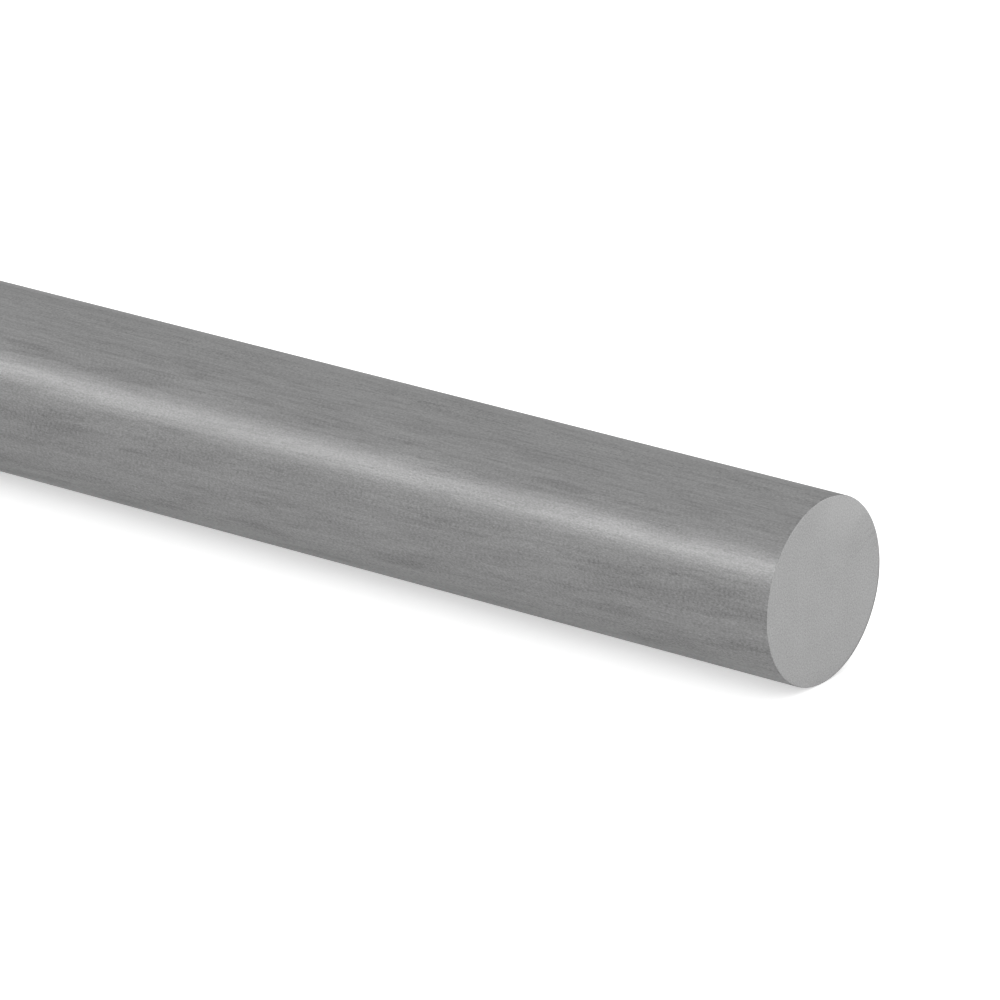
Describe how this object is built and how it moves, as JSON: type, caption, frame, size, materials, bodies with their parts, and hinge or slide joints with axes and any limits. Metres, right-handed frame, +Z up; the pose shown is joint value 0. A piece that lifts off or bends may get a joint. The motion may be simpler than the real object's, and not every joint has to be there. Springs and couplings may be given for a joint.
{
  "type": "fibreglass laminate rod",
  "caption": "Solid round bar of woven glass cloth and epoxy laminate, ground to diameter and sawn square at both ends; raw stock to cut, turn or clamp.",
  "frame": {"origin": "on the plane that the bar lies on, under the middle of its length and its axis", "axes": "+X along the bar's axis, towards the sawn end that the picture shows; +Z up; the bar lies along X and touches Z = 0 along its lowest line"},
  "size_m": [0.3048, 0.019, 0.0191],
  "materials": {
    "laminate": "satin ground side with the cut glass cloth showing as a fine weave and long faint layer marks; lighter, matte, fine-grained sawn ends"
  },
  "bodies": {
    "root": {"rod": "laminate"}
  },
  "joints": []
}
